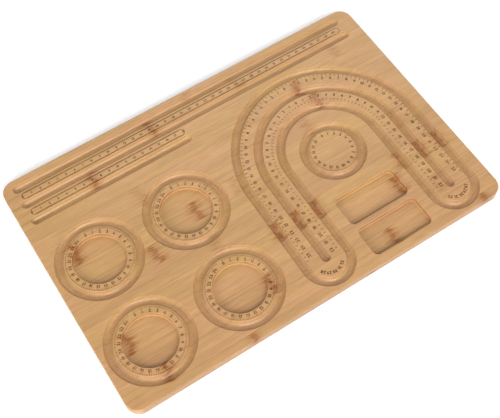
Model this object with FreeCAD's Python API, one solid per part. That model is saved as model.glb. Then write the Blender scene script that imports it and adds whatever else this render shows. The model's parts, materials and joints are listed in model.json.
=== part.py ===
"""Bead design board: a flat board of laminated bamboo, milled with bead grooves and bead pockets.

The board is two plies thick. Each ply is a row of bamboo strips that run along X and are glued edge to
edge, and the glue lines of the lower ply are half a strip away from those of the upper ply. The glued-up
board is trimmed to its outline, its edges are rounded, and the grooves and pockets are milled into the
upper ply only. Each strip is one node, with its own share of every groove and pocket that crosses it.

Millimetres. The origin is the middle of the underside, X runs along the board, Z is up.
"""

import FreeCAD, Part
import math
import os

# The board.
LENGTH = 438.0
WIDTH = 286.0
THICKNESS = 12.0
PLY = THICKNESS / 2
CORNER_RADIUS = 14.0
EDGE_RADIUS = 1.2

# The bamboo strips: one width throughout, and the outermost two of each ply are trimmed with the board.
STRIP_WIDTH = 22.25
UPPER_FIRST_GLUE_LINE = -134.35
LOWER_FIRST_GLUE_LINE = UPPER_FIRST_GLUE_LINE + STRIP_WIDTH / 2

# Every bead groove is cut by the same round-nosed cutter, to the same depth.
GROOVE_RADIUS = 4.75
GROOVE_DEPTH = 4.6
CUTTER_HEIGHT = THICKNESS - GROOVE_DEPTH + GROOVE_RADIUS  # of the middle of the cutter's round nose

# Bracelet rings: a round groove with a pocket for loose beads inside it, in two rows of two.
RING_COLUMNS = (-168.5, -68.1)
RING_ROWS = (-87.7, 14.4)
RING_RADIUS = 40.7
ROUND_POCKET_RADIUS = 27.5

# The finger-ring circle: one small round groove inside the arch.
SMALL_RING_CENTRE = (98.5, -9.0)
SMALL_RING_RADIUS = 31.0

# The necklace arch: half circles with straight legs. The outer and inner grooves join round each leg's end,
# and the middle groove stops just short of the glue line there.
ARCH_CENTRE = (98.8, -6.3)
ARCH_INNER_RADIUS = 54.0
ARCH_MIDDLE_RADIUS = 78.0
ARCH_OUTER_RADIUS = 102.0
LEG_END_Y = -110.0
MIDDLE_GROOVE_END_Y = -107.1

# The straight grooves along the far edge: (y, first x, last x) of the cutter's centre.
RULER_START_X = -203.0
LONG_RULER_END_X = 197.0
SHORT_RULER_END_X = -23.5
STRAIGHT_GROOVES = (
    (130.5, RULER_START_X, LONG_RULER_END_X),
    (109.6, RULER_START_X, LONG_RULER_END_X),
    (87.6, RULER_START_X, SHORT_RULER_END_X),
)

# The pockets. Their floors are flat, with a small radius where the floor meets the wall.
POCKET_DEPTH = 5.0
POCKET_FLOOR_RADIUS = 1.2
SQUARE_POCKET_X = (63.5, 135.0)
SQUARE_POCKET_ROWS = ((-133.3, -99.4), (-93.2, -59.5))
SQUARE_POCKET_CORNER_RADIUS = 5.5

MARGIN = 5.0  # how far a cutting shape stands past the face that it cuts through
UP = FreeCAD.Vector(0, 0, 1)


def point(x, y, z=0.0):
    return FreeCAD.Vector(x, y, z)


def vertical_edges(shape):
    """The straight edges of a shape that run up and down."""
    found = []
    for edge in shape.Edges:
        start, end = edge.firstVertex().Point, edge.lastVertex().Point
        if math.hypot(start.x - end.x, start.y - end.y) < 1e-6 and abs(start.z - end.z) > 1e-6:
            found.append(edge)
    return found


def edges_at(shape, height):
    """The edges of a shape that lie at one height."""
    found = []
    for edge in shape.Edges:
        box = edge.BoundBox
        if abs(box.ZMin - height) < 1e-6 and abs(box.ZMax - height) < 1e-6:
            found.append(edge)
    return found


def block(x_range, y_range, z_range):
    """A plain block between two corners."""
    return Part.makeBox(
        x_range[1] - x_range[0],
        y_range[1] - y_range[0],
        z_range[1] - z_range[0],
        point(x_range[0], y_range[0], z_range[0]),
    )


def board_blank():
    """The trimmed board before milling, with its corners and its edges rounded."""
    blank = block((-LENGTH / 2, LENGTH / 2), (-WIDTH / 2, WIDTH / 2), (0, THICKNESS))
    blank = blank.makeFillet(CORNER_RADIUS, vertical_edges(blank))
    rims = edges_at(blank, 0.0) + edges_at(blank, THICKNESS)
    return blank.makeFillet(EDGE_RADIUS, rims)


def ring_groove(centre, radius):
    """A groove all the way round a circle."""
    return [Part.makeTorus(radius, GROOVE_RADIUS, point(*centre, CUTTER_HEIGHT), UP)]


def arc_groove(centre, radius, start_angle, sweep):
    """A groove round part of a circle, from start_angle and counterclockwise."""
    arc = Part.makeTorus(radius, GROOVE_RADIUS, point(0, 0), UP, 0, 360, sweep)
    arc.rotate(point(0, 0), UP, start_angle)
    arc.translate(point(*centre, CUTTER_HEIGHT))
    return [arc]


def straight_groove(start, end):
    """A straight groove without its rounded ends."""
    begin = point(*start, CUTTER_HEIGHT)
    run = point(*end, CUTTER_HEIGHT) - begin
    return [Part.makeCylinder(GROOVE_RADIUS, run.Length, begin, run)]


def groove_end(centre):
    """The round end that the cutter leaves where a groove stops."""
    return [Part.makeSphere(GROOVE_RADIUS, point(*centre, CUTTER_HEIGHT))]


def ruler_grooves():
    cuts = []
    for y, first_x, last_x in STRAIGHT_GROOVES:
        cuts += straight_groove((first_x, y), (last_x, y))
        cuts += groove_end((first_x, y))
        cuts += groove_end((last_x, y))
    return cuts


def arch_grooves():
    """The three grooves of the arch, and the half circles that join two of them at each leg's end."""
    centre_x, centre_y = ARCH_CENTRE
    cuts = []
    for radius in (ARCH_INNER_RADIUS, ARCH_MIDDLE_RADIUS, ARCH_OUTER_RADIUS):
        end_y = MIDDLE_GROOVE_END_Y if radius == ARCH_MIDDLE_RADIUS else LEG_END_Y
        cuts += arc_groove(ARCH_CENTRE, radius, 0, 180)
        for side in (-1, 1):
            leg_x = centre_x + side * radius
            cuts += straight_groove((leg_x, centre_y), (leg_x, end_y))
            if radius == ARCH_MIDDLE_RADIUS:
                cuts += groove_end((leg_x, end_y))
    half_leg = (ARCH_OUTER_RADIUS - ARCH_INNER_RADIUS) / 2
    for side in (-1, 1):
        leg_centre = (centre_x + side * (ARCH_INNER_RADIUS + half_leg), LEG_END_Y)
        cuts += arc_groove(leg_centre, half_leg, 180, 180)
    return cuts


def pocket(shape):
    """A pocket's cutting shape, with the radius between its floor and its wall."""
    return shape.makeFillet(POCKET_FLOOR_RADIUS, edges_at(shape, THICKNESS - POCKET_DEPTH))


def round_pocket(centre):
    start = point(*centre, THICKNESS - POCKET_DEPTH)
    return pocket(Part.makeCylinder(ROUND_POCKET_RADIUS, POCKET_DEPTH + MARGIN, start))


def square_pocket(y_range):
    shape = block(SQUARE_POCKET_X, y_range, (THICKNESS - POCKET_DEPTH, THICKNESS + MARGIN))
    return pocket(shape.makeFillet(SQUARE_POCKET_CORNER_RADIUS, vertical_edges(shape)))


def milling():
    """Everything that is milled out of the upper ply."""
    cuts = ruler_grooves() + arch_grooves() + ring_groove(SMALL_RING_CENTRE, SMALL_RING_RADIUS)
    for x in RING_COLUMNS:
        for y in RING_ROWS:
            cuts += ring_groove((x, y), RING_RADIUS)
            cuts.append(round_pocket((x, y)))
    cuts += [square_pocket(y_range) for y_range in SQUARE_POCKET_ROWS]
    return cuts


def strip_ranges(first_glue_line):
    """The y range of each strip of a ply, from the near edge to the far edge."""
    half = WIDTH / 2
    glue_lines = []
    y = first_glue_line
    while y < half:
        glue_lines.append(y)
        y += STRIP_WIDTH
    sides = [-half] + glue_lines + [half]
    return list(zip(sides[:-1], sides[1:]))


def make_strip(blank, y_range, z_range, cuts):
    """One strip: its share of the board, less the milling that reaches it."""
    strip = blank.common(block((-LENGTH / 2, LENGTH / 2), y_range, z_range))
    reaching = [cut for cut in cuts if cut.BoundBox.YMin < y_range[1] and cut.BoundBox.YMax > y_range[0]]
    return strip.cut(reaching) if reaching else strip


def write_ply(blank, name, first_glue_line, z_range, cuts):
    for number, y_range in enumerate(strip_ranges(first_glue_line), start=1):
        strip = make_strip(blank, y_range, z_range, cuts)
        strip.exportStep(f"parts/{name}_{number:02d}.step")
        print(f"{name}_{number:02d}", "valid", strip.isValid(), "solids", len(strip.Solids), "mm3", strip.Volume)


def main():
    os.makedirs("parts", exist_ok=True)
    blank = board_blank()
    write_ply(blank, "lower_strip", LOWER_FIRST_GLUE_LINE, (0.0, PLY), [])
    write_ply(blank, "upper_strip", UPPER_FIRST_GLUE_LINE, (PLY, THICKNESS), milling())


main()
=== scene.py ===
"""Bead design board of laminated bamboo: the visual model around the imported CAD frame.

Every CAD strip is replaced by a detailed strip of the same size and place. Its grooves and pockets have
softened rims, and its scales and numbers are engraved. The bamboo is procedural, and laid along the strips.

Shapes are made in millimetres and scaled to metres at the end. The frame is in metres.
"""

import json
import math
from collections import namedtuple

import bmesh
import bpy
from mathutils import Matrix, Vector


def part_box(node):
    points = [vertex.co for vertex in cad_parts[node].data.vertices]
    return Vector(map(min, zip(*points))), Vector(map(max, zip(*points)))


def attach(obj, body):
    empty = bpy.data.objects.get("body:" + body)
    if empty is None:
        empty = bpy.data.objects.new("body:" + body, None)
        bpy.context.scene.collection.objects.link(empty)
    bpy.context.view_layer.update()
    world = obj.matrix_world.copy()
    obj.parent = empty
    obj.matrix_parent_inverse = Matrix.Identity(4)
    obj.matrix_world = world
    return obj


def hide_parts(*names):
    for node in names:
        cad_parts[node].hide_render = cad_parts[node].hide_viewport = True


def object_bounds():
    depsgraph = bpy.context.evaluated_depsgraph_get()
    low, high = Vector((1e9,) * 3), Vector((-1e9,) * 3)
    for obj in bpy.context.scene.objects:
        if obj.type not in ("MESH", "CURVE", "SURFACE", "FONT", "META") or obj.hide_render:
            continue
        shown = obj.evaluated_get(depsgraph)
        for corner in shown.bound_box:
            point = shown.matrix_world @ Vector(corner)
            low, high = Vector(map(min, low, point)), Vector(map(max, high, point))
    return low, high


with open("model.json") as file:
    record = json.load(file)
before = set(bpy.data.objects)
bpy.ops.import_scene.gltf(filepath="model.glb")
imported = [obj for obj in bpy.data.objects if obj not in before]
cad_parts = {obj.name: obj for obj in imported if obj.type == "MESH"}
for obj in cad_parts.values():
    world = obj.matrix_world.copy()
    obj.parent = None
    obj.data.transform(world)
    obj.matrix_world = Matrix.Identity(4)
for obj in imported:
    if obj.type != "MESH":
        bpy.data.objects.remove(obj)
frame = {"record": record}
CAD_LOW, CAD_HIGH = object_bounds()

MM = 0.001

# The board, from the frame.
LENGTH = (CAD_HIGH.x - CAD_LOW.x) / MM
WIDTH = (CAD_HIGH.y - CAD_LOW.y) / MM
THICKNESS = (CAD_HIGH.z - CAD_LOW.z) / MM
CORNER_RADIUS = 14.0
EDGE_RADIUS = 1.2

# The milling, as in the CAD.
GROOVE_RADIUS = 4.75
GROOVE_DEPTH = 4.6
CUTTER_HEIGHT = THICKNESS - GROOVE_DEPTH + GROOVE_RADIUS
RIM_RADIUS = 0.5
RING_COLUMNS = (-168.5, -68.1)
RING_ROWS = (-87.7, 14.4)
RING_RADIUS = 40.7
ROUND_POCKET_RADIUS = 27.5
SMALL_RING_CENTRE = (98.5, -9.0)
SMALL_RING_RADIUS = 31.0
ARCH_CENTRE = (98.8, -6.3)
ARCH_INNER_RADIUS = 54.0
ARCH_MIDDLE_RADIUS = 78.0
ARCH_OUTER_RADIUS = 102.0
LEG_END_Y = -110.0
MIDDLE_GROOVE_END_Y = -107.1
RULER_START_X = -203.0
LONG_RULER_END_X = 197.0
SHORT_RULER_END_X = -23.5
STRAIGHT_GROOVES = (
    (130.5, RULER_START_X, LONG_RULER_END_X),
    (109.6, RULER_START_X, LONG_RULER_END_X),
    (87.6, RULER_START_X, SHORT_RULER_END_X),
)
POCKET_DEPTH = 5.0
POCKET_FLOOR_RADIUS = 1.2
SQUARE_POCKET_X = (63.5, 135.0)
SQUARE_POCKET_ROWS = ((-133.3, -99.4), (-93.2, -59.5))
SQUARE_POCKET_CORNER_RADIUS = 5.5

# The engraving.
MARK_DEPTH = 0.35
MARK_CLEARANCE = 0.4  # how far the engraving tool's shape stands above the face
LINE_WIDTH = 0.6
TICK_WIDTH = 0.6
DIGIT_HEIGHT = 3.5
DIGIT_BOLDNESS = 0.035  # in the font's own units
DIGIT_CURVE_STEPS = 3
DIGIT_GAP = 0.14  # between two digits, as a share of their height
CENTIMETRE = 10.0

# How finely round stretches are cut.
ARC_STEP_MM = 1.0
FEWEST_ARC_STEPS = 6
PROFILE_STEPS = 12
RIM_STEPS = 4
EDGE_STEPS = 8
CORNER_STEPS = 24
SMALL_CORNER_STEPS = 8
MERGE_DISTANCE = 1e-4  # points nearer than this are one point

# The cutters.
CUTTER_ABOVE_FACE = 1.0
RIM_END_ANGLE = 92  # a little past level, so that a rim crosses the face instead of touching it
STRIP_MARGIN = 5.0  # how far a strip's cutting box stands past the board's outline
AT_OUTLINE = 0.01  # how near the board's outline a node's side counts as being on it


# ---------------------------------------------------------------- outlines and profiles


def arc_points(centre, radius, start, end, steps):
    """Points along an arc, angles in degrees, both ends included."""
    angles = [math.radians(start + (end - start) * k / steps) for k in range(steps + 1)]
    return [(centre[0] + radius * math.cos(a), centre[1] + radius * math.sin(a)) for a in angles]


def arc_stations(centre, radius, start, end, outward=1):
    """Stations (x, y, normal x, normal y) along an arc. For outward -1 the normals point into it."""
    arc_length = abs(math.radians(end - start)) * max(radius, GROOVE_RADIUS)
    steps = max(FEWEST_ARC_STEPS, round(arc_length / ARC_STEP_MM))
    stations = []
    for k in range(steps + 1):
        a = math.radians(start + (end - start) * k / steps)
        x, y = math.cos(a), math.sin(a)
        stations.append((centre[0] + radius * x, centre[1] + radius * y, outward * x, outward * y))
    return stations


def ring_stations(centre, radius, outward=1):
    """A closed circle of stations. The last one is left out, because it's the first again."""
    return arc_stations(centre, radius, 0, 360, outward)[:-1]


def cap_stations(centre, start, end):
    """The stations round the end of a groove, which all stand on one point."""
    return arc_stations(centre, 0, start, end)


def groove_profile():
    """Half of a groove's section, from its deepest point to above the face: (distance across, height)."""
    rim_height = THICKNESS - RIM_RADIUS
    rise = CUTTER_HEIGHT - rim_height
    reach = GROOVE_RADIUS + RIM_RADIUS
    rim_across = math.sqrt(reach * reach - rise * rise)
    meet = math.degrees(math.atan2(-rise, rim_across))
    points = arc_points((0, CUTTER_HEIGHT), GROOVE_RADIUS, -90, meet, PROFILE_STEPS)
    points += arc_points((rim_across, rim_height), RIM_RADIUS, 180 + meet, RIM_END_ANGLE, RIM_STEPS)[1:]
    top = THICKNESS + CUTTER_ABOVE_FACE
    return points + [(rim_across, top), (0, top)]


def pocket_profile():
    """A pocket's wall, from its floor to above the face: (distance out from the wall, height)."""
    floor = THICKNESS - POCKET_DEPTH
    foot_centre = (-POCKET_FLOOR_RADIUS, floor + POCKET_FLOOR_RADIUS)
    points = arc_points(foot_centre, POCKET_FLOOR_RADIUS, -90, 0, 2 * RIM_STEPS)
    points += arc_points((RIM_RADIUS, THICKNESS - RIM_RADIUS), RIM_RADIUS, 180, RIM_END_ANGLE, RIM_STEPS)
    return points + [(RIM_RADIUS, THICKNESS + CUTTER_ABOVE_FACE)]


# ---------------------------------------------------------------- meshes


def mesh_of(bm, name):
    """A closed mesh with its faces turned outwards."""
    bmesh.ops.remove_doubles(bm, verts=bm.verts, dist=MERGE_DISTANCE)
    bmesh.ops.recalc_face_normals(bm, faces=bm.faces)
    mesh = bpy.data.meshes.new(name)
    bm.to_mesh(mesh)
    bm.free()
    return mesh


def join_rings(bm, low, high):
    """A band of faces between two rings with the same number of points."""
    for k in range(len(low)):
        after = (k + 1) % len(low)
        bm.faces.new((low[k], low[after], high[after], high[k]))


def walls(bm, stations, profile):
    """The surface that a profile makes as it goes round a closed loop of stations, as its rings of points."""
    rings = []
    for across, height in profile:
        places = [(x + nx * across, y + ny * across, height) for x, y, nx, ny in stations]
        rings.append([bm.verts.new(place) for place in places])
    for low, high in zip(rings[:-1], rings[1:]):
        join_rings(bm, low, high)
    return rings


def groove_shape(bm, *loops):
    """A groove: its two sides, or the one loop round an open groove, which meet along its centre line."""
    for loop in loops:
        walls(bm, loop, groove_profile())


def pocket_shape(bm, stations):
    """A pocket: its walls, closed at the floor and above the face."""
    rings = walls(bm, stations, pocket_profile())
    bm.faces.new(rings[0])
    bm.faces.new(rings[-1])


def rounded_rectangle(x_range, y_range, radius, steps=CORNER_STEPS):
    """Stations round a rounded rectangle, counterclockwise."""
    corners = (
        (x_range[1] - radius, y_range[0] + radius, -90),
        (x_range[1] - radius, y_range[1] - radius, 0),
        (x_range[0] + radius, y_range[1] - radius, 90),
        (x_range[0] + radius, y_range[0] + radius, 180),
    )
    stations = []
    for x, y, start in corners:
        for k in range(steps + 1):
            a = math.radians(start + 90 * k / steps)
            nx, ny = math.cos(a), math.sin(a)
            stations.append((x + radius * nx, y + radius * ny, nx, ny))
    return stations


def board_blank():
    """The trimmed board before milling, with its rounded corners and edges."""
    stations = rounded_rectangle((-LENGTH / 2, LENGTH / 2), (-WIDTH / 2, WIDTH / 2), CORNER_RADIUS)
    lower = arc_points((-EDGE_RADIUS, EDGE_RADIUS), EDGE_RADIUS, -90, 0, EDGE_STEPS)
    upper = arc_points((-EDGE_RADIUS, THICKNESS - EDGE_RADIUS), EDGE_RADIUS, 0, 90, EDGE_STEPS)
    bm = bmesh.new()
    rings = walls(bm, stations, lower + upper)
    bm.faces.new(rings[0])
    bm.faces.new(rings[-1])
    return mesh_of(bm, "blank")


def open_path_loop(path):
    """The stations round an open centre line: up one side, round the end, and back along the other."""
    left = [(x, y, -ty, tx) for x, y, tx, ty in path]
    right = [(x, y, ty, -tx) for x, y, tx, ty in reversed(path)]
    loop = []
    for side in (left, right):
        x, y, nx, ny = side[-1]
        turn = math.degrees(math.atan2(ny, nx))
        loop += side + cap_stations((x, y), turn, turn - 180)[1:-1]
    return loop


def straight_path(start, end):
    """A centre line (x, y, direction x, direction y) from one point to another."""
    length = math.dist(start, end)
    tx, ty = (end[0] - start[0]) / length, (end[1] - start[1]) / length
    return [(*start, tx, ty), (*end, tx, ty)]


def arch_path(radius, end_y):
    """The centre line of one arch groove, from the foot of its right leg to the foot of its left one."""
    x, y = ARCH_CENTRE
    over = [(px, py, -ny, nx) for px, py, nx, ny in arc_stations(ARCH_CENTRE, radius, 0, 180)]
    return [(x + radius, end_y, 0, 1)] + over + [(x - radius, end_y, 0, -1)]


def arch_loop_path():
    """The closed centre line of the outer and inner grooves, which join round each leg's end."""
    x, _ = ARCH_CENTRE
    half_leg = (ARCH_OUTER_RADIUS - ARCH_INNER_RADIUS) / 2
    middle = ARCH_INNER_RADIUS + half_leg
    left_end = arc_stations((x - middle, LEG_END_Y), half_leg, 180, 360)
    right_end = arc_stations((x + middle, LEG_END_Y), half_leg, 180, 360)
    outer = arc_stations(ARCH_CENTRE, ARCH_OUTER_RADIUS, 0, 180)
    inner = arc_stations(ARCH_CENTRE, ARCH_INNER_RADIUS, 180, 0, -1)
    return outer + left_end + inner + right_end


def groove_cutter():
    """Every groove as one cutting shape."""
    bm = bmesh.new()
    for y, first_x, last_x in STRAIGHT_GROOVES:
        groove_shape(bm, open_path_loop(straight_path((first_x, y), (last_x, y))))
    groove_shape(bm, open_path_loop(arch_path(ARCH_MIDDLE_RADIUS, MIDDLE_GROOVE_END_Y)))
    loop = arch_loop_path()
    groove_shape(bm, loop, [(x, y, -nx, -ny) for x, y, nx, ny in loop])
    rings = [((x, y), RING_RADIUS) for x in RING_COLUMNS for y in RING_ROWS]
    rings.append((SMALL_RING_CENTRE, SMALL_RING_RADIUS))
    for centre, radius in rings:
        groove_shape(bm, ring_stations(centre, radius), ring_stations(centre, radius, -1))
    return mesh_of(bm, "grooves")


def pocket_cutter():
    """Every pocket as one cutting shape."""
    bm = bmesh.new()
    for x in RING_COLUMNS:
        for y in RING_ROWS:
            pocket_shape(bm, ring_stations((x, y), ROUND_POCKET_RADIUS))
    for y_range in SQUARE_POCKET_ROWS:
        corner = SQUARE_POCKET_CORNER_RADIUS
        pocket_shape(bm, rounded_rectangle(SQUARE_POCKET_X, y_range, corner, SMALL_CORNER_STEPS))
    return mesh_of(bm, "pockets")


# ---------------------------------------------------------------- engraving


def prism(bm, outline, low, high):
    """An upright prism on an outline."""
    floor = [bm.verts.new((x, y, low)) for x, y in outline]
    top = [bm.verts.new((x, y, high)) for x, y in outline]
    bm.faces.new(floor)
    bm.faces.new(top)
    join_rings(bm, floor, top)


def font_digit(character):
    """A digit from the font that comes with Blender, made bolder and one unit thick."""
    text = bpy.data.curves.new(f"digit_{character}", "FONT")
    text.body = character
    text.resolution_u = DIGIT_CURVE_STEPS
    text.extrude = 0.5
    text.offset = DIGIT_BOLDNESS
    holder = bpy.data.objects.new(text.name, text)
    bpy.context.collection.objects.link(holder)
    mesh = bpy.data.meshes.new_from_object(holder.evaluated_get(bpy.context.evaluated_depsgraph_get()))
    bpy.data.objects.remove(holder)
    return mesh


def open_four():
    """A four with an open top, because the font's own one crosses itself when it is made bolder."""
    stem, stroke, bar_low, bar_high, width = 0.44, 0.16, 0.25, 0.41, 0.64
    outline = [(0, 1), (stroke, 1), (stroke, bar_high), (stem, bar_high), (stem, 1), (stem + stroke, 1)]
    outline += [(stem + stroke, bar_high), (width, bar_high), (width, bar_low), (stem + stroke, bar_low)]
    outline += [(stem + stroke, 0), (stem, 0), (stem, bar_low), (0, bar_low)]
    bm = bmesh.new()
    prism(bm, outline, -0.5, 0.5)
    return mesh_of(bm, "digit_4")


def digit_shapes():
    """A mesh and a width for each digit, centred and one unit tall."""
    shapes = {}
    for character in "0123456789":
        mesh = open_four() if character == "4" else font_digit(character)
        xs = [v.co.x for v in mesh.vertices]
        ys = [v.co.y for v in mesh.vertices]
        scale = 1 / (max(ys) - min(ys))
        mesh.transform(Matrix.Translation((-(max(xs) + min(xs)) / 2, -(max(ys) + min(ys)) / 2, 0)))
        mesh.transform(Matrix.Diagonal((scale, scale, 1, 1)))
        shapes[character] = (mesh, (max(xs) - min(xs)) * scale)
    return shapes


class Engraving:
    """Collects every engraved mark as one closed mesh, which is then cut out of the strips."""

    def __init__(self, digits):
        self.bm = bmesh.new()
        self.digits = digits
        self.low = THICKNESS - MARK_DEPTH
        self.high = THICKNESS + MARK_CLEARANCE

    def tick(self, x, y, angle, length, width=TICK_WIDTH):
        """A short line from (x, y) towards an angle."""
        tx, ty = math.cos(angle), math.sin(angle)
        sx, sy = -ty * width / 2, tx * width / 2
        ex, ey = x + tx * length, y + ty * length
        outline = [(x - sx, y - sy), (ex - sx, ey - sy), (ex + sx, ey + sy), (x + sx, y + sy)]
        prism(self.bm, outline, self.low, self.high)

    def number(self, value, x, y, angle, height=DIGIT_HEIGHT):
        """A number centred on (x, y), its baseline turned by an angle."""
        text = str(value)
        gap = DIGIT_GAP * height
        widths = [self.digits[c][1] * height for c in text]
        at = -(sum(widths) + gap * (len(text) - 1)) / 2
        middle = (self.low + self.high) / 2
        for character, width in zip(text, widths):
            mesh = self.digits[character][0].copy()
            place = Matrix.Translation((x, y, middle)) @ Matrix.Rotation(angle, 4, "Z")
            place = place @ Matrix.Translation((at + width / 2, 0, 0))
            mesh.transform(place @ Matrix.Diagonal((height, height, self.high - self.low, 1)))
            self.bm.from_mesh(mesh)
            bpy.data.meshes.remove(mesh)
            at += width + gap

    def band(self, stations, width=LINE_WIDTH):
        """A line of one width along a closed loop of stations."""
        half = width / 2
        section = ((-half, self.low), (half, self.low), (half, self.high), (-half, self.high))
        rings = walls(self.bm, stations, section)
        join_rings(self.bm, rings[-1], rings[0])


RULER_ORIGIN_X = -202.0
RULER_LEAD = 0.8  # how far the line starts before the zero
RULERS = (  # first line's y, second line's y, last x, last number
    (115.6, 123.3, 196.0, 39),
    (94.1, 102.1, -21.5, 18),
)
RULER_DIGIT_HEIGHT = 2.8
RULER_TICK = 0.9
RULER_TICK_WIDTH = 0.4
RULER_TICK_GAP = 0.4  # from the middle of the line to the tick


def engrave_rulers(marks, lines):
    """Two rulers: a line round each one, its numbers, and a tick for each millimetre on both long sides."""
    for near_y, far_y, end_x, last in RULERS:
        height = far_y - near_y
        nearly_half = height / 2 - 0.01  # the line's ends are almost half circles
        x_range = (RULER_ORIGIN_X - RULER_LEAD, end_x)
        lines.band(rounded_rectangle(x_range, (near_y, far_y), nearly_half, SMALL_CORNER_STEPS))
        for number in range(last + 1):
            x = RULER_ORIGIN_X + CENTIMETRE * number
            marks.number(number, x, near_y + height / 2, 0, RULER_DIGIT_HEIGHT)
        for millimetre in range(round(height / 2), round(CENTIMETRE * last - height / 2)):
            x = RULER_ORIGIN_X + millimetre
            marks.tick(x, near_y + RULER_TICK_GAP, math.pi / 2, RULER_TICK, RULER_TICK_WIDTH)
            marks.tick(x, far_y - RULER_TICK_GAP, -math.pi / 2, RULER_TICK, RULER_TICK_WIDTH)


ARCH_SCALES = (  # the groove that is measured, and the radii of its numbers and of its ticks
    (ARCH_OUTER_RADIUS, 91.2, 96.6),
    (ARCH_MIDDLE_RADIUS, 68.7, 64.4),
)
ARCH_TICK = 2.2
ARCH_TICK_STEP = 5.0
ARCH_LAST_Y = -104.0
LEG_NUMBER_RADIUS = 14.5
LEG_NUMBER_ANGLES = (30, 150)  # where the scale goes on round a leg's end, from the outer side


def arch_place(measured, along, radius):
    """The point at one radius beside a distance along an arch groove, from its top: (x, y, outward angle)."""
    x, y = ARCH_CENTRE
    side = 1 if along >= 0 else -1
    quarter = measured * math.pi / 2
    if abs(along) <= quarter:
        angle = math.pi / 2 - along / measured
        return x + radius * math.cos(angle), y + radius * math.sin(angle), angle
    return x + side * radius, y - (abs(along) - quarter), 0 if side > 0 else math.pi


def engrave_arch(marks):
    """The arch's two scales, which count down both legs from 0 at the top."""
    for measured, number_radius, tick_radius in ARCH_SCALES:
        reach = measured * math.pi / 2 + ARCH_CENTRE[1] - ARCH_LAST_Y
        last = int(reach // CENTIMETRE)
        for number in range(-last, last + 1):
            x, y, angle = arch_place(measured, number * CENTIMETRE, number_radius)
            marks.number(abs(number), x, y, angle - math.pi / 2)
        last_tick = int(reach // ARCH_TICK_STEP)
        for tick in range(-last_tick, last_tick + 1):
            x, y, angle = arch_place(measured, tick * ARCH_TICK_STEP, tick_radius)
            marks.tick(x, y, angle + math.pi, ARCH_TICK)


def engrave_leg_ends(marks):
    """The outer groove's scale goes on round the end of each leg."""
    half_leg = (ARCH_OUTER_RADIUS - ARCH_INNER_RADIUS) / 2
    to_leg_end = ARCH_OUTER_RADIUS * math.pi / 2 + ARCH_CENTRE[1] - LEG_END_Y
    first = math.ceil((to_leg_end + half_leg * math.radians(LEG_NUMBER_ANGLES[0])) / CENTIMETRE)
    last = math.floor((to_leg_end + half_leg * math.radians(LEG_NUMBER_ANGLES[1])) / CENTIMETRE)
    for side in (-1, 1):
        centre_x = ARCH_CENTRE[0] + side * ARCH_MIDDLE_RADIUS
        for number in range(first, last + 1):
            turn = (number * CENTIMETRE - to_leg_end) / half_leg
            angle = -turn if side > 0 else math.pi + turn
            x = centre_x + LEG_NUMBER_RADIUS * math.cos(angle)
            y = LEG_END_Y + LEG_NUMBER_RADIUS * math.sin(angle)
            marks.number(number, x, y, angle - math.pi / 2)


RING_NUMBER_RADIUS = 30.4
RING_TICK_RADIUS = 35.0
RING_TICK = 2.4
RING_SHORT_TICK = 1.4
RING_TICKS_PER_NUMBER = 5
RING_TICK_WIDTH = 0.5
RING_DIGIT_HEIGHT = 3.3
SMALL_RING_NUMBER_RADIUS = 21.0
SMALL_RING_TICK_RADIUS = 25.8


def engrave_ring(marks, centre, groove_radius, number_radius, tick_radius):
    """A scale round the inside of a ring: one number for each centimetre along the groove, 0 at the top."""
    step = CENTIMETRE / groove_radius
    count = int(2 * math.pi / step)
    for number in range(count):
        angle = math.pi / 2 - number * step
        x = centre[0] + number_radius * math.cos(angle)
        y = centre[1] + number_radius * math.sin(angle)
        marks.number(number, x, y, angle - math.pi / 2, RING_DIGIT_HEIGHT)
    for part in range(RING_TICKS_PER_NUMBER * count):
        angle = math.pi / 2 - part * step / RING_TICKS_PER_NUMBER
        x = centre[0] + tick_radius * math.cos(angle)
        y = centre[1] + tick_radius * math.sin(angle)
        length = RING_SHORT_TICK if part % RING_TICKS_PER_NUMBER else RING_TICK
        marks.tick(x, y, angle + math.pi, length, RING_TICK_WIDTH)


def engraving():
    """The numbers and ticks, and apart from them the lines, which may touch the ticks."""
    digits = digit_shapes()
    marks, lines = Engraving(digits), Engraving(digits)
    engrave_rulers(marks, lines)
    engrave_arch(marks)
    engrave_leg_ends(marks)
    for x in RING_COLUMNS:
        for y in RING_ROWS:
            engrave_ring(marks, (x, y), RING_RADIUS, RING_NUMBER_RADIUS, RING_TICK_RADIUS)
    small = (SMALL_RING_RADIUS, SMALL_RING_NUMBER_RADIUS, SMALL_RING_TICK_RADIUS)
    engrave_ring(marks, SMALL_RING_CENTRE, *small)
    for digit, _ in digits.values():
        bpy.data.meshes.remove(digit)
    return mesh_of(marks.bm, "marks"), mesh_of(lines.bm, "lines")


# ---------------------------------------------------------------- materials


GREEN_FALLS = 1.12  # how much faster than red the green and the blue get darker
BLUE_FALLS = 1.28
HONEY = (0.498, 0.288, 0.105, 1)
ROSE = (0.518, 0.283, 0.125, 1)
KNUCKLE_BROWN = (0.290, 0.086, 0.012, 1)
BURNT_BROWN = (0.125, 0.034, 0.008, 1)


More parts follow.
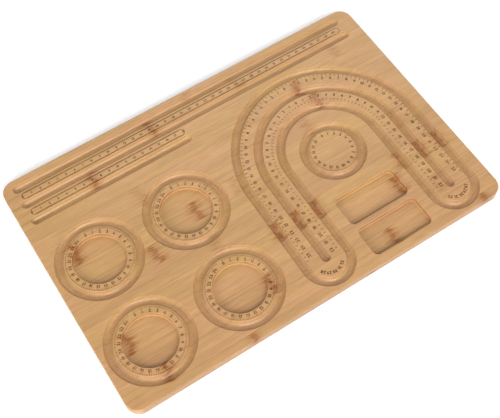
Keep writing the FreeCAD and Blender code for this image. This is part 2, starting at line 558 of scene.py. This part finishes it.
class Shader:
    """Builds one material. Each method adds a node, and gives the value that comes out of it."""

    def __init__(self, name):
        self.material = bpy.data.materials.new(name)
        self.material.use_nodes = True
        self.tree = self.material.node_tree
        self.surface = self.tree.nodes["Principled BSDF"]

    def feed(self, socket, value):
        if isinstance(value, bpy.types.NodeSocket):
            self.tree.links.new(value, socket)
        else:
            socket.default_value = value

    def node(self, kind, values, **settings):
        """A node with its settings, fed by the name or the number of each input."""
        made = self.tree.nodes.new(kind)
        for name, value in settings.items():
            setattr(made, name, value)
        for name, value in values.items():
            self.feed(made.inputs[name], value)
        return made

    def math(self, operation, *values):
        return self.node("ShaderNodeMath", dict(enumerate(values)), operation=operation).outputs[0]

    def vector(self, x, y, z):
        return self.node("ShaderNodeCombineXYZ", {"X": x, "Y": y, "Z": z}).outputs[0]

    def split(self, vector):
        return self.node("ShaderNodeSeparateXYZ", {"Vector": vector}).outputs[:3]

    def noise(self, place, detail=2.0):
        values = {"Vector": place, "Scale": 1.0, "Detail": detail}
        return self.node("ShaderNodeTexNoise", values).outputs[0]

    def random(self, number):
        return self.node("ShaderNodeTexWhiteNoise", {"W": number}, noise_dimensions="1D").outputs["Value"]

    def between(self, value, start, end, low=0.0, high=1.0):
        """A smooth step: low where the value is at start, high where it is at end."""
        values = {"Value": value, "From Min": start, "From Max": end, "To Min": low, "To Max": high}
        return self.node("ShaderNodeMapRange", values, interpolation_type="SMOOTHSTEP").outputs[0]

    def product(self, first, *others):
        for other in others:
            first = self.math("MULTIPLY", first, other)
        return first

    def less(self, amount, share):
        """One, less a share of an amount."""
        return self.math("SUBTRACT", 1.0, self.math("MULTIPLY", amount, share))

    def mix(self, factor, first, second):
        return self.node("ShaderNodeMix", {0: factor, 6: first, 7: second}, data_type="RGBA").outputs[2]

    def tinted(self, colour, shade):
        """A colour made darker by a shade, and warmer as it gets darker."""
        green = self.math("POWER", shade, GREEN_FALLS)
        blue = self.math("POWER", shade, BLUE_FALLS)
        warm = self.vector(shade, green, blue)
        return self.node("ShaderNodeVectorMath", {0: colour, 1: warm}, operation="MULTIPLY").outputs[0]


# Patterns of the bamboo: their size along and across the strip in millimetres, how fine their detail is, and
# the values low and high that they take where their noise is at start and at end.
Pattern = namedtuple("Pattern", "length width detail start end low high")
WIDE_STREAKS = Pattern(length=150, width=2.6, detail=3.0, start=0.5, end=0.72, low=1.0, high=0.91)
NARROW_STREAKS = Pattern(length=90, width=0.7, detail=2.0, start=0.55, end=0.68, low=1.0, high=0.8)
CLOUDS = Pattern(length=70, width=9, detail=2.0, start=0.3, end=0.7, low=0.95, high=1.05)
FIBRES = Pattern(length=14, width=0.4, detail=1.0, start=0.3, end=0.7, low=0.9, high=1.07)
HUE_PATCHES = Pattern(length=90, width=16, detail=1.0, start=0.35, end=0.65, low=0.0, high=1.0)
TUFTS = Pattern(length=11, width=1.1, detail=2.0, start=0.4, end=0.62, low=0.15, high=1.0)
GLUE_DARKNESS = Pattern(length=45, width=400, detail=1.0, start=0.42, end=0.6, low=0.06, high=0.3)
UNEVEN_GLOSS = Pattern(length=24, width=0.8, detail=2.0, start=0.3, end=0.7, low=0.0, high=0.1)
SCORCH = Pattern(length=30, width=12, detail=2.0, start=0.35, end=0.65, low=0.2, high=0.5)
BURNT_SPOTS = Pattern(length=2.0, width=0.8, detail=2.0, start=0.3, end=0.7, low=0.75, high=1.2)

# Noise that isn't turned into a pattern: its size along and across the strip, and how fine its detail is.
FIBRE_RELIEF = (16, 0.45, 1.0)
STREAK_RELIEF = (60, 1.6, 2.0)
KNUCKLE_BEND = (400, 5.0, 2.0)

STRIP_TONES = (0.97, 1.03)  # the darkest strip and the palest
HUE_SEED = 0.37  # so that a strip's hue is drawn apart from its tone
GRAIN_SHIFT = 900.0  # how far apart, at most, two strips are cut from the same figure
GLUE_LINE_HALF_WIDTHS = (0.45, 0.1)  # where a glue line fades out, and where it is darkest
ALONG_FIBRES_TO_ACROSS = (0.25, 0.95)  # the x part of the normal of a face that cuts along, and across
FLOOR_TO_WALL = (0.75, 0.15)  # the z part of the normal of a floor, and of a wall
END_GRAIN_DARKER = 0.06
END_GRAIN_ROUGHER = 0.12
# Painted shade: how much darker the board's sides are made.
BOARD_SIDE_PAINTED_SHADE = 0.3
KNUCKLE_WAVER = 18.0  # how far along the strip a knuckle's line wavers
STRIPS_APART = 1000.0  # how far apart strips count as being, so that a knuckle stays on its own

# The scorching of the engraved marks.
BURN_PATCH_SIZE = 45.0
BURN_NOISE_HEIGHT = 4.0
BURN_NOISE = (0.36, 0.62)
BURN_SHADES = (0.65, 0.25)  # the least and the most burnt marks
CHARRED = 0.5

# How a knuckle's brown fades: how far off it ends, how far off it is full, and how brown it is there.
KNUCKLE_CORE = (5.0, 0.8, 0.4)
KNUCKLE_TUFTS = (13.0, 2.0, 0.58)
FAINT_KNUCKLE = (10.0, 1.0, 0.45)

# The knuckles, where each bamboo cane had a node: (x, the number of the upper strip).
KNUCKLES = (
    (-119, 7), (-59, 8), (-186, 9), (-187, 4), (-41, 3), (-131, 12), (-50, 13), (121, 10), (112, 11),
    (148, 5), (-4, 5), (21, 5), (45, 5), (177, 5), (200, 5), (131, 4), (92, 2), (-170, 2), (-84, 1), (196, 1),
)
FAINT_KNUCKLES = ((-64, 6), (174, 12), (92, 9), (3, 14), (166, 3), (-100, 10), (60, 13), (-10, 8), (180, 7))
UPPER_FIRST_GLUE_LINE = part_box("upper_strip_01")[1][1] / MM
LOWER_FIRST_GLUE_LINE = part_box("lower_strip_01")[1][1] / MM
STRIP_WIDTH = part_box("upper_strip_02")[1][1] / MM - UPPER_FIRST_GLUE_LINE
LOWER_STRIPS = 13
UPPER_SEED = 0
LOWER_SEED = 50
GOLDEN_RATIO = 0.618


def lower_knuckles():
    """One knuckle for each strip of the lower ply, spread evenly but out of order."""
    return [(LENGTH * ((k * GOLDEN_RATIO) % 1 - 0.5), k) for k in range(1, LOWER_STRIPS + 1)]


class Bamboo:
    """The figure of one ply of bamboo at a place on the board, in millimetres, as values in a shader."""

    def __init__(self, shader, first_glue_line, seed):
        self.shader = shader
        place = shader.node("ShaderNodeTexCoord", {})
        scaled = {0: place.outputs["Object"], "Scale": 1 / MM}
        board = shader.node("ShaderNodeVectorMath", scaled, operation="SCALE").outputs[0]
        self.x, self.y, self.z = shader.split(board)
        self.normal = shader.split(place.outputs["Normal"])
        self.across = shader.math("DIVIDE", shader.math("SUBTRACT", self.y, first_glue_line), STRIP_WIDTH)
        self.strip = shader.math("FLOOR", self.across)
        self.tone = shader.random(shader.math("ADD", self.strip, seed))
        self.hue = shader.random(shader.math("ADD", self.strip, seed + HUE_SEED))
        self.shifted = shader.math("ADD", self.x, shader.math("MULTIPLY", self.tone, GRAIN_SHIFT))

    def grain(self, length, width, detail):
        """Noise drawn out along the strip: its size along the strip, and across it."""
        shader = self.shader
        along = shader.math("DIVIDE", self.shifted, length)
        across = shader.math("DIVIDE", self.y, width)
        down = shader.math("DIVIDE", self.z, width)
        return shader.noise(shader.vector(along, across, down), detail)

    def pattern(self, wanted):
        """One of the patterns above."""
        noise = self.grain(wanted.length, wanted.width, wanted.detail)
        return self.shader.between(noise, wanted.start, wanted.end, wanted.low, wanted.high)

    def streaks(self):
        """Long darker lines along the strip."""
        return self.shader.product(self.pattern(WIDE_STREAKS), self.pattern(NARROW_STREAKS))

    def glue_lines(self):
        """A thin line where two strips meet, in some places darker than in others."""
        shader = self.shader
        inside = shader.math("FRACT", self.across)
        edge = shader.math("MINIMUM", inside, shader.math("SUBTRACT", 1.0, inside))
        line = shader.between(shader.math("MULTIPLY", edge, STRIP_WIDTH), *GLUE_LINE_HALF_WIDTHS)
        return shader.less(line, self.pattern(GLUE_DARKNESS))

    def nearness(self, knuckles, bend):
        """How far the nearest knuckle on this strip is."""
        shader = self.shader
        place = shader.vector(bend, shader.math("MULTIPLY", self.strip, STRIPS_APART), 0.0)
        nearest = STRIPS_APART
        for x, number in knuckles:
            strip = number - 2  # counted from the first glue line, which is where strip 1 ends
            ends = {0: place, 1: (x, strip * STRIPS_APART, 0)}
            distance = shader.node("ShaderNodeVectorMath", ends, operation="DISTANCE").outputs["Value"]
            nearest = shader.math("MINIMUM", nearest, distance)
        return nearest

    def fade(self, distance, ends, full, brown):
        """How brown a place is from one of a knuckle's fades."""
        return self.shader.between(distance, ends, full, 0.0, brown)

    def knuckles(self, knuckles, faint):
        """How brown a place is: a soft band across the strip, between dark tufts of fibres."""
        shader = self.shader
        waver = shader.math("SUBTRACT", self.grain(*KNUCKLE_BEND), 0.5)
        bend = shader.math("ADD", self.x, shader.math("MULTIPLY", waver, KNUCKLE_WAVER))
        tufts = self.pattern(TUFTS)
        near = self.nearness(knuckles, bend)
        core = self.fade(near, *KNUCKLE_CORE)
        halo = shader.product(self.fade(near, *KNUCKLE_TUFTS), tufts)
        pale = shader.product(self.fade(self.nearness(faint, bend), *FAINT_KNUCKLE), tufts)
        return shader.math("MAXIMUM", shader.math("ADD", core, halo), pale)

    def end_grain(self):
        """How far a face cuts across the fibres."""
        return self.shader.between(self.shader.math("ABSOLUTE", self.normal[0]), *ALONG_FIBRES_TO_ACROSS)

    def wall(self):
        """How steep a face is, from 0 for a floor to 1 for an upright wall."""
        return self.shader.between(self.shader.math("ABSOLUTE", self.normal[2]), *FLOOR_TO_WALL)

    def board_side(self):
        """How far a place is down the rounded edge of the board, from 0 on its face to 1 on its side: where
        shade is painted on the board's sides.
        """
        shader = self.shader
        past_end = shader.math("SUBTRACT", shader.math("ABSOLUTE", self.x), LENGTH / 2)
        past_side = shader.math("SUBTRACT", shader.math("ABSOLUTE", self.y), WIDTH / 2)
        return shader.between(shader.math("MAXIMUM", past_end, past_side), -EDGE_RADIUS, 0.0)

    def shade(self):
        """How light a place is, from everything but the knuckles, with shade painted on the board's sides."""
        shader = self.shader
        strip = shader.between(self.tone, 0.0, 1.0, *STRIP_TONES)
        clouds, fibres = self.pattern(CLOUDS), self.pattern(FIBRES)
        ends = shader.less(self.end_grain(), END_GRAIN_DARKER)
        # Painted shade: the board's sides are made darker.
        sides = shader.less(self.board_side(), BOARD_SIDE_PAINTED_SHADE)
        return shader.product(strip, clouds, fibres, ends, sides, self.streaks(), self.glue_lines())

    def colour(self, shade, knuckles, faint):
        """Honey or rose by strip and by patch, browner at the knuckles, and made darker by the shade."""
        shader = self.shader
        hue = shader.math("MULTIPLY", shader.math("ADD", self.pattern(HUE_PATCHES), self.hue), 0.5)
        plain = shader.mix(hue, HONEY, ROSE)
        return shader.tinted(shader.mix(self.knuckles(knuckles, faint), plain, KNUCKLE_BROWN), shade)

    def relief(self, depth):
        """The bump of the open fibres."""
        shader = self.shader
        height = shader.math("ADD", self.grain(*FIBRE_RELIEF), self.grain(*STREAK_RELIEF))
        values = {"Strength": 0.5, "Distance": depth * MM, "Height": height}
        return shader.node("ShaderNodeBump", values).outputs[0]

    def roughness(self, smoothest):
        """How dull a place is: uneven, and duller where the fibres are cut across."""
        shader = self.shader
        ends = shader.math("MULTIPLY", self.end_grain(), END_GRAIN_ROUGHER)
        return shader.math("ADD", shader.math("ADD", self.pattern(UNEVEN_GLOSS), ends), smoothest)

    def finish(self, colour, smoothest, gloss, relief):
        """Feeds the material's surface, and gives the material. The relief is in millimetres."""
        shader = self.shader
        inputs = shader.surface.inputs
        shader.feed(inputs["Base Color"], colour)
        shader.feed(inputs["Roughness"], self.roughness(smoothest))
        shader.feed(inputs["Specular IOR Level"], gloss)
        shader.feed(inputs["Normal"], self.relief(relief))
        return shader.material


def bamboo_material(name, first_glue_line, seed, knuckles, faint):
    """Satin-lacquered bamboo."""
    bamboo = Bamboo(Shader(name), first_glue_line, seed)
    colour = bamboo.colour(bamboo.shade(), knuckles, faint)
    return bamboo.finish(colour, smoothest=0.34, gloss=0.6, relief=0.05)


def pocket_material():
    """The same bamboo inside a pocket, whose walls the cutter has scorched a little."""
    shader = Shader("bamboo_pocket")
    bamboo = Bamboo(shader, UPPER_FIRST_GLUE_LINE, UPPER_SEED)
    clean = bamboo.colour(bamboo.shade(), KNUCKLES, FAINT_KNUCKLES)
    scorch = shader.product(bamboo.wall(), bamboo.pattern(SCORCH))
    colour = shader.mix(scorch, clean, KNUCKLE_BROWN)
    return bamboo.finish(colour, smoothest=0.4, gloss=0.5, relief=0.08)


def burnt_material():
    """The floor of an engraved mark: the same bamboo, scorched more in some places than in others."""
    shader = Shader("burnt_bamboo")
    bamboo = Bamboo(shader, UPPER_FIRST_GLUE_LINE, UPPER_SEED)
    x = shader.math("DIVIDE", bamboo.x, BURN_PATCH_SIZE)
    y = shader.math("DIVIDE", bamboo.y, BURN_PATCH_SIZE)
    patches = shader.noise(shader.vector(x, y, BURN_NOISE_HEIGHT))
    burn = shader.between(patches, *BURN_NOISE, *BURN_SHADES)
    shade = shader.product(bamboo.shade(), burn, bamboo.pattern(BURNT_SPOTS))
    scorched = bamboo.colour(shade, KNUCKLES, FAINT_KNUCKLES)
    colour = shader.mix(CHARRED, scorched, BURNT_BROWN)
    return bamboo.finish(colour, smoothest=0.7, gloss=0.15, relief=0.1)


# ---------------------------------------------------------------- strips


SHARP_ANGLE = math.radians(35)


def cutting_object(mesh, material):
    """An object that cuts the strips and gives its material to the cut."""
    mesh.materials.clear()
    mesh.materials.append(material)
    made = bpy.data.objects.new(mesh.name, mesh)
    bpy.context.collection.objects.link(made)
    return made


def strip_box(name):
    """A node's box as a cutting shape, which stands past the board where the node ends at its outline."""
    grown_low, grown_high = [], []
    for low, high, board_low, board_high in zip(*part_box(name), CAD_LOW, CAD_HIGH):
        at_low = (low - board_low) / MM < AT_OUTLINE
        at_high = (board_high - high) / MM < AT_OUTLINE
        grown_low.append(low / MM - (STRIP_MARGIN if at_low else 0))
        grown_high.append(high / MM + (STRIP_MARGIN if at_high else 0))
    bm = bmesh.new()
    bmesh.ops.create_cube(bm, size=1)
    for v in bm.verts:
        v.co = Vector([(a if c < 0 else b) for c, a, b in zip(v.co, grown_low, grown_high)])
    return mesh_of(bm, "strip_box")


def cut(target, cutter, operation):
    """Adds one cut, which the new mesh of the strip takes in."""
    step = target.modifiers.new(operation.lower(), "BOOLEAN")
    step.operation = operation
    step.solver = "MANIFOLD"
    step.object = cutter
    step.material_mode = "TRANSFER"


def make_strip(name, blank, cutters, material):
    """One strip of the board, milled and engraved, in place of its CAD node."""
    strip = bpy.data.objects.new(f"{name}_bamboo", blank.copy())
    bpy.context.collection.objects.link(strip)
    strip.data.materials.append(material)
    box = cutting_object(strip_box(name), material)
    cut(strip, box, "INTERSECT")
    for cutter in cutters:
        cut(strip, cutter, "DIFFERENCE")
    made = bpy.data.meshes.new_from_object(strip.evaluated_get(bpy.context.evaluated_depsgraph_get()))
    strip.modifiers.clear()
    strip.data = made
    made.transform(Matrix.Scale(MM, 4))
    made.name = strip.name
    bpy.data.objects.remove(box)
    made.shade_smooth()
    made.set_sharp_from_angle(angle=SHARP_ANGLE)
    shading = strip.modifiers.new("weighted", "WEIGHTED_NORMAL")
    shading.keep_sharp = True
    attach(strip, "root")
    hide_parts(name)


def build_strips():
    """Every strip of both plies. Only the upper ones are milled and engraved."""
    upper = bamboo_material("bamboo_upper", UPPER_FIRST_GLUE_LINE, UPPER_SEED, KNUCKLES, FAINT_KNUCKLES)
    lower = bamboo_material("bamboo_lower", LOWER_FIRST_GLUE_LINE, LOWER_SEED, lower_knuckles(), ())
    burnt = burnt_material()
    blank = board_blank()
    cutters = [cutting_object(groove_cutter(), upper), cutting_object(pocket_cutter(), pocket_material())]
    cutters += [cutting_object(mesh, burnt) for mesh in engraving()]
    for name in sorted(subpart["node"] for subpart in frame["record"]["subparts"]):
        if name.startswith("upper"):
            make_strip(name, blank, cutters, upper)
        else:
            make_strip(name, blank, (), lower)
    for used in cutters:
        bpy.data.objects.remove(used)


# ---------------------------------------------------------------- stage


WHITE = (1, 1, 1, 1)
FLOOR_SIZE = 12
FLOOR_COLOUR = (0.9, 0.9, 0.9, 1)
FLOOR_ROUGHNESS = 0.9
FLOOR_GLOW = 0.2  # a table lit a little from below, which softens the shadow round the board


def floor():
    """A plain pale table under the board."""
    bpy.ops.mesh.primitive_plane_add(size=FLOOR_SIZE, location=(0, 0, 0))
    plane = bpy.context.object
    plane.name = "floor"
    material = bpy.data.materials.new("floor")
    material.use_nodes = True
    surface = material.node_tree.nodes["Principled BSDF"]
    surface.inputs["Base Color"].default_value = FLOOR_COLOUR
    surface.inputs["Roughness"].default_value = FLOOR_ROUGHNESS
    surface.inputs["Emission Color"].default_value = WHITE
    surface.inputs["Emission Strength"].default_value = FLOOR_GLOW
    plane.data.materials.append(material)


HORIZON_LIGHT = 0.6
OVERHEAD_LIGHT = 0.25
DARK_FROM = 0.3  # the sine of the height above the horizon where the room is as dark as it is overhead
LAMP_DISTANCE = 4.5
LAMP_SIZE = 2.6
LAMPS = (  # azimuth, elevation, and how much of the light on the board comes from there
    ("key", -5.0, 42.0, 0.73),
    ("left_near", -50.0, 20.0, 0.50),
    ("left", -100.0, 20.0, 0.48),
    ("right_near", 45.0, 20.0, 0.32),
    ("far_right", 150.0, 42.0, 0.24),
)


def towards(azimuth, elevation):
    """A direction from the object: azimuth 0 is the near side, and it turns towards the right."""
    turn, rise = math.radians(azimuth), math.radians(elevation)
    return Vector((math.sin(turn) * math.cos(rise), -math.cos(turn) * math.cos(rise), math.sin(rise)))


def softbox(name, azimuth, elevation, share):
    """A square softbox that faces the board."""
    light = bpy.data.lights.new(name, "AREA")
    light.size = LAMP_SIZE
    light.energy = share * (math.pi * LAMP_DISTANCE) ** 2
    lamp = bpy.data.objects.new(name, light)
    bpy.context.collection.objects.link(lamp)
    direction = towards(azimuth, elevation)
    lamp.location = direction * LAMP_DISTANCE
    lamp.rotation_euler = (-direction).to_track_quat("-Z", "Y").to_euler()


def lighting():
    """A room that is darker overhead, and softboxes round the board, mostly on the near side and the left."""
    world = bpy.data.worlds.new("studio")
    world.use_nodes = True
    nodes, links = world.node_tree.nodes, world.node_tree.links
    place = nodes.new("ShaderNodeTexCoord")
    height = nodes.new("ShaderNodeSeparateXYZ")
    strength = nodes.new("ShaderNodeMapRange")
    strength.inputs["From Max"].default_value = DARK_FROM
    strength.inputs["To Min"].default_value = HORIZON_LIGHT
    strength.inputs["To Max"].default_value = OVERHEAD_LIGHT
    links.new(place.outputs["Generated"], height.inputs["Vector"])
    links.new(height.outputs["Z"], strength.inputs["Value"])
    links.new(strength.outputs["Result"], nodes["Background"].inputs["Strength"])
    nodes["Background"].inputs["Color"].default_value = WHITE
    bpy.context.scene.world = world
    for lamp in LAMPS:
        softbox(*lamp)
    bpy.context.scene.view_settings.view_transform = "Standard"


CAMERA_AZIMUTH = -31.058
CAMERA_ELEVATION = 61.967
CAMERA_ROLL = 1.772
CAMERA_DISTANCE = 0.94245
CAMERA_AIM = Vector((-0.01315, -0.02039, 0.012))
CAMERA_LENS = 66.457
SENSOR_WIDTH = 36


def camera():
    """Looks at the board from above its near left corner."""
    data = bpy.data.cameras.new("camera")
    data.sensor_width = SENSOR_WIDTH
    data.lens = CAMERA_LENS
    seen = bpy.data.objects.new("camera", data)
    bpy.context.collection.objects.link(seen)
    back = towards(CAMERA_AZIMUTH, CAMERA_ELEVATION)
    seen.location = CAMERA_AIM + back * CAMERA_DISTANCE
    facing = (-back).to_track_quat("-Z", "Y").to_matrix().to_4x4()
    facing = facing @ Matrix.Rotation(-math.radians(CAMERA_ROLL), 4, "Z")
    seen.rotation_euler = facing.to_euler()
    bpy.context.scene.camera = seen


build_strips()
floor()
lighting()
camera()
